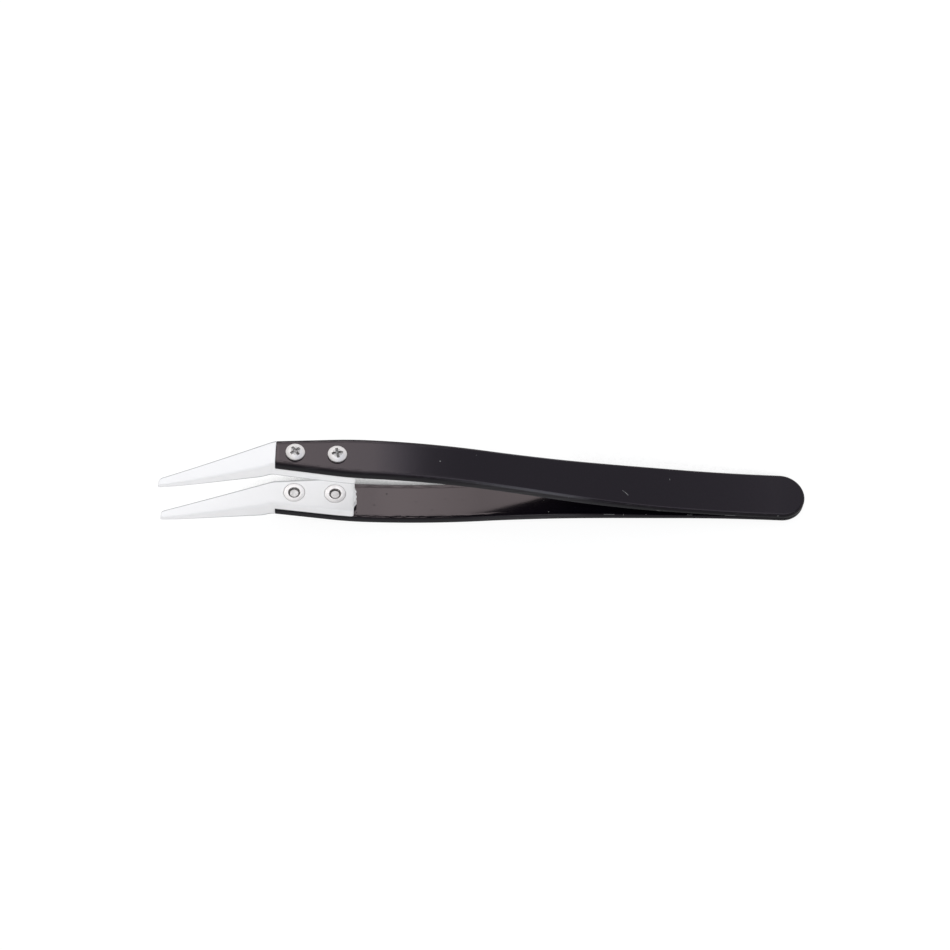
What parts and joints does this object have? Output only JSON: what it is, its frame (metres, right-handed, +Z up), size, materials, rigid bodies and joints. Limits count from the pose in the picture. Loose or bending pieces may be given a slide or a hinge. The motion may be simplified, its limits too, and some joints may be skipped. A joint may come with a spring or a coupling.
{
  "type": "ceramic tweezers",
  "caption": "Spring tweezers with black coated steel arms and white ceramic tips that turn sideways at an elbow, held by small screws and flush nuts.",
  "frame": {"origin": "centre of the outline's footprint on the surface that the tweezers lie on, at rest", "axes": "+Z up from that surface, X along the tweezers with the tips towards -X and the joined heel towards +X, Y across the arms with the tips turned towards -Y"},
  "size_m": [0.1301, 0.0116, 0.0217],
  "materials": {
    "black_coat": "smooth gloss black coat on steel",
    "white_ceramic": "ground white technical ceramic",
    "plated_steel": "bright plated steel",
    "weld_steel": "plain weld metal"
  },
  "bodies": {
    "heel": {"left_spot_weld": "weld_steel", "right_spot_weld": "weld_steel"},
    "upper": {"upper_arm": "black_coat", "upper_tip": "white_ceramic", "upper_front_screw": "plated_steel", "upper_rear_screw": "plated_steel", "upper_front_nut": "plated_steel", "upper_rear_nut": "plated_steel"},
    "lower": {"lower_arm": "black_coat", "lower_tip": "white_ceramic", "lower_front_screw": "plated_steel", "lower_rear_screw": "plated_steel", "lower_front_nut": "plated_steel", "lower_rear_nut": "plated_steel"}
  },
  "joints": [
    {"name": "upper_arm_flex", "type": "hinge", "parent": "heel", "child": "upper", "pos_m": [0.0441, 0.00096, 0.00327], "axis": [0, -1, 0], "range_deg": [0, 2.96], "stiffness_Nm_per_rad": 2.5},
    {"name": "lower_arm_flex", "type": "hinge", "parent": "heel", "child": "lower", "pos_m": [0.0441, 0.00096, 0.00327], "axis": [0, -1, 0], "range_deg": [-2.96, 0], "stiffness_Nm_per_rad": 2.5}
  ],
  "couplings": [
    {"joint": "lower_arm_flex", "follows": "upper_arm_flex", "ratio": -1}
  ]
}
